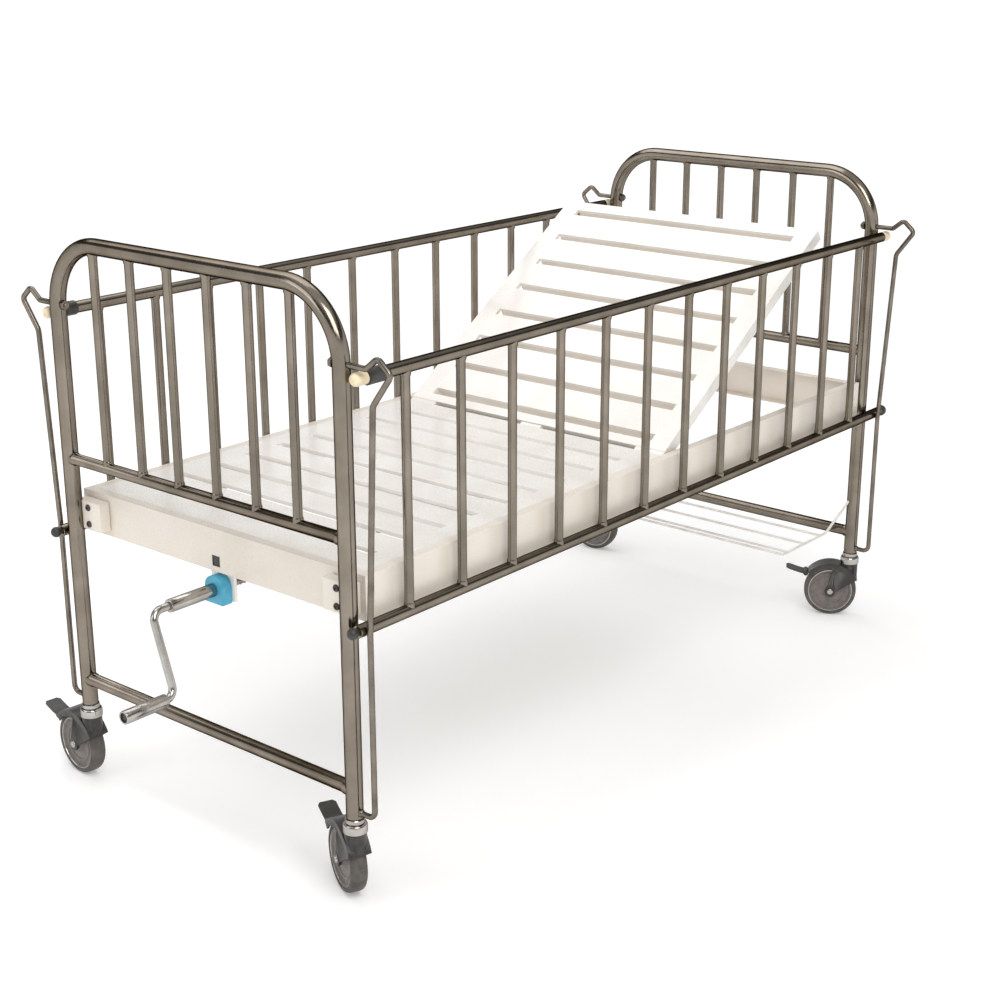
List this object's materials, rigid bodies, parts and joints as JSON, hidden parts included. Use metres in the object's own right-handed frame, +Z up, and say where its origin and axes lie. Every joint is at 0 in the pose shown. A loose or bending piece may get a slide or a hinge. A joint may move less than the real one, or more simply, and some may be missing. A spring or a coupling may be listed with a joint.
{
  "type": "pediatric hospital cot",
  "caption": "Steel cot on braked swivel casters, with bent tube ends, barred drop sides, a slatted deck, a crank-raised backrest and a wire rack.",
  "frame": {"origin": "on the floor under the middle of the whole cot", "axes": "+X towards the head end, +Y towards the far side, +Z up"},
  "size_m": [1.9754, 0.9724, 1.0675],
  "materials": {
    "steel_tube": "satin polished stainless tube",
    "rod_steel": "drawn steel rod",
    "chrome": "bright chrome plate",
    "screw_steel": "oiled steel",
    "white_enamel": "semi-gloss white enamel",
    "beige_enamel": "semi-gloss beige enamel",
    "cream_plastic": "moulded cream plastic",
    "blue_plastic": "moulded blue plastic",
    "dark_plastic": "moulded dark plastic",
    "grey_plastic": "moulded grey plastic",
    "tyre": "dark rubber tread",
    "white_wire": "coated wire"
  },
  "bodies": {
    "frame": {"foot_arch": "steel_tube", "foot_barred_panel": "steel_tube", "foot_crossbar": "steel_tube", "head_arch": "steel_tube", "head_barred_panel": "steel_tube", "head_crossbar": "steel_tube", "guide_rod_foot_near": "rod_steel", "guide_rod_foot_far": "rod_steel", "guide_rod_head_near": "rod_steel", "guide_rod_head_far": "rod_steel", "deck_side_near": "beige_enamel", "deck_side_far": "beige_enamel", "deck_end_foot": "white_enamel", "deck_end_head": "beige_enamel", "deck_cross_member_hinge": "white_enamel", "deck_cross_member_middle": "white_enamel", "deck_bracket_foot_near": "cream_plastic", "deck_bracket_foot_far": "cream_plastic", "deck_bracket_head_near": "cream_plastic", "deck_bracket_head_far": "cream_plastic", "foot_slat_panel": "white_enamel", "hinge_rod": "chrome", "crank_hanger": "white_enamel", "screw_hanger": "white_enamel", "crank_bearing": "blue_plastic", "wire_rack": "white_wire"},
    "near_drop_side": {"near_drop_side": "steel_tube", "near_rail_cap_foot": "cream_plastic", "near_rail_knob_foot": "dark_plastic", "near_rail_cap_head": "cream_plastic", "near_rail_knob_head": "dark_plastic"},
    "far_drop_side": {"far_drop_side": "steel_tube", "far_rail_cap_foot": "cream_plastic", "far_rail_knob_foot": "dark_plastic", "far_rail_cap_head": "cream_plastic", "far_rail_knob_head": "dark_plastic"},
    "backrest": {"backrest_slat_panel": "white_enamel", "backrest_lever": "screw_steel"},
    "crank": {"lead_screw": "screw_steel", "crank_handle": "chrome"},
    "crank_grip": {"crank_grip": "chrome"},
    "push_carriage": {"screw_nut": "blue_plastic", "push_tube": "steel_tube"},
    "caster_foot_near": {"caster_fork_foot_near": "dark_plastic"},
    "wheel_foot_near": {"caster_wheel_foot_near": "grey_plastic", "caster_tyre_foot_near": "tyre"},
    "brake_foot_near": {"brake_pedal_foot_near": "dark_plastic"},
    "caster_foot_far": {"caster_fork_foot_far": "dark_plastic"},
    "wheel_foot_far": {"caster_wheel_foot_far": "grey_plastic", "caster_tyre_foot_far": "tyre"},
    "brake_foot_far": {"brake_pedal_foot_far": "dark_plastic"},
    "caster_head_near": {"caster_fork_head_near": "dark_plastic"},
    "wheel_head_near": {"caster_wheel_head_near": "grey_plastic", "caster_tyre_head_near": "tyre"},
    "brake_head_near": {"brake_pedal_head_near": "dark_plastic"},
    "caster_head_far": {"caster_fork_head_far": "dark_plastic"},
    "wheel_head_far": {"caster_wheel_head_far": "grey_plastic", "caster_tyre_head_far": "tyre"},
    "brake_head_far": {"brake_pedal_head_far": "dark_plastic"}
  },
  "joints": [
    {"name": "near_side_drop", "type": "slide", "parent": "frame", "child": "near_drop_side", "axis": [0, 0, 1], "range_m": [-0.29, 0]},
    {"name": "far_side_drop", "type": "slide", "parent": "frame", "child": "far_drop_side", "axis": [0, 0, 1], "range_m": [-0.29, 0]},
    {"name": "backrest_tilt", "type": "hinge", "parent": "frame", "child": "backrest", "pos_m": [0.15445, -0.02162, 0.565], "axis": [0, -1, 0], "range_deg": [-33.3, 40]},
    {"name": "crank_turn", "type": "hinge", "parent": "frame", "child": "crank", "pos_m": [-0.81555, -0.02162, 0.472], "axis": [1, 0, 0], "range_deg": [-2180, 2620]},
    {"name": "push_travel", "type": "slide", "parent": "frame", "child": "push_carriage", "axis": [1, 0, 0], "range_m": [-0.061, 0.073]},
    {"name": "grip_spin", "type": "hinge", "parent": "crank", "child": "crank_grip", "pos_m": [-0.98775, -0.06971, 0.32992], "axis": [1, 0, 0], "continuous": true},
    {"name": "swivel_foot_near", "type": "hinge", "parent": "frame", "child": "caster_foot_near", "pos_m": [-0.76055, -0.37662, 0.14], "axis": [0, 0, 1], "continuous": true},
    {"name": "wheel_spin_foot_near", "type": "hinge", "parent": "caster_foot_near", "child": "wheel_foot_near", "pos_m": [-0.7428, -0.33855, 0.06155], "axis": [-0.9063, 0.4226, 0], "continuous": true},
    {"name": "brake_press_foot_near", "type": "hinge", "parent": "caster_foot_near", "child": "brake_foot_near", "pos_m": [-0.71764, -0.28459, 0.10293], "axis": [-0.9063, 0.4226, 0], "range_deg": [0, 12]},
    {"name": "swivel_foot_far", "type": "hinge", "parent": "frame", "child": "caster_foot_far", "pos_m": [-0.76055, 0.33338, 0.14], "axis": [0, 0, 1], "continuous": true},
    {"name": "wheel_spin_foot_far", "type": "hinge", "parent": "caster_foot_far", "child": "wheel_foot_far", "pos_m": [-0.75689, 0.37522, 0.06155], "axis": [-0.9962, 0.0872, 0], "continuous": true},
    {"name": "brake_press_foot_far", "type": "hinge", "parent": "caster_foot_far", "child": "brake_foot_far", "pos_m": [-0.7517, 0.43453, 0.10293], "axis": [-0.9962, 0.0872, 0], "range_deg": [0, 12]},
    {"name": "swivel_head_near", "type": "hinge", "parent": "frame", "child": "caster_head_near", "pos_m": [0.92945, -0.37662, 0.14], "axis": [0, 0, 1], "continuous": true},
    {"name": "wheel_spin_head_near", "type": "hinge", "parent": "caster_head_near", "child": "wheel_head_near", "pos_m": [0.90845, -0.34024, 0.06155], "axis": [-0.866, -0.5, 0], "continuous": true},
    {"name": "brake_press_head_near", "type": "hinge", "parent": "caster_head_near", "child": "brake_head_near", "pos_m": [0.87868, -0.28868, 0.10293], "axis": [-0.866, -0.5, 0], "range_deg": [0, 12]},
    {"name": "swivel_head_far", "type": "hinge", "parent": "frame", "child": "caster_head_far", "pos_m": [0.92945, 0.33338, 0.14], "axis": [0, 0, 1], "continuous": true},
    {"name": "wheel_spin_head_far", "type": "hinge", "parent": "caster_head_far", "child": "wheel_head_far", "pos_m": [0.92216, 0.37475, 0.06155], "axis": [-0.9848, -0.1736, 0], "continuous": true},
    {"name": "brake_press_head_far", "type": "hinge", "parent": "caster_head_far", "child": "brake_head_far", "pos_m": [0.91182, 0.43338, 0.10293], "axis": [-0.9848, -0.1736, 0], "range_deg": [0, 12]}
  ],
  "couplings": [
    {"joint": "push_travel", "follows": "backrest_tilt", "m_per_rad": 0.104},
    {"joint": "crank_turn", "follows": "backrest_tilt", "ratio": 65.345}
  ]
}
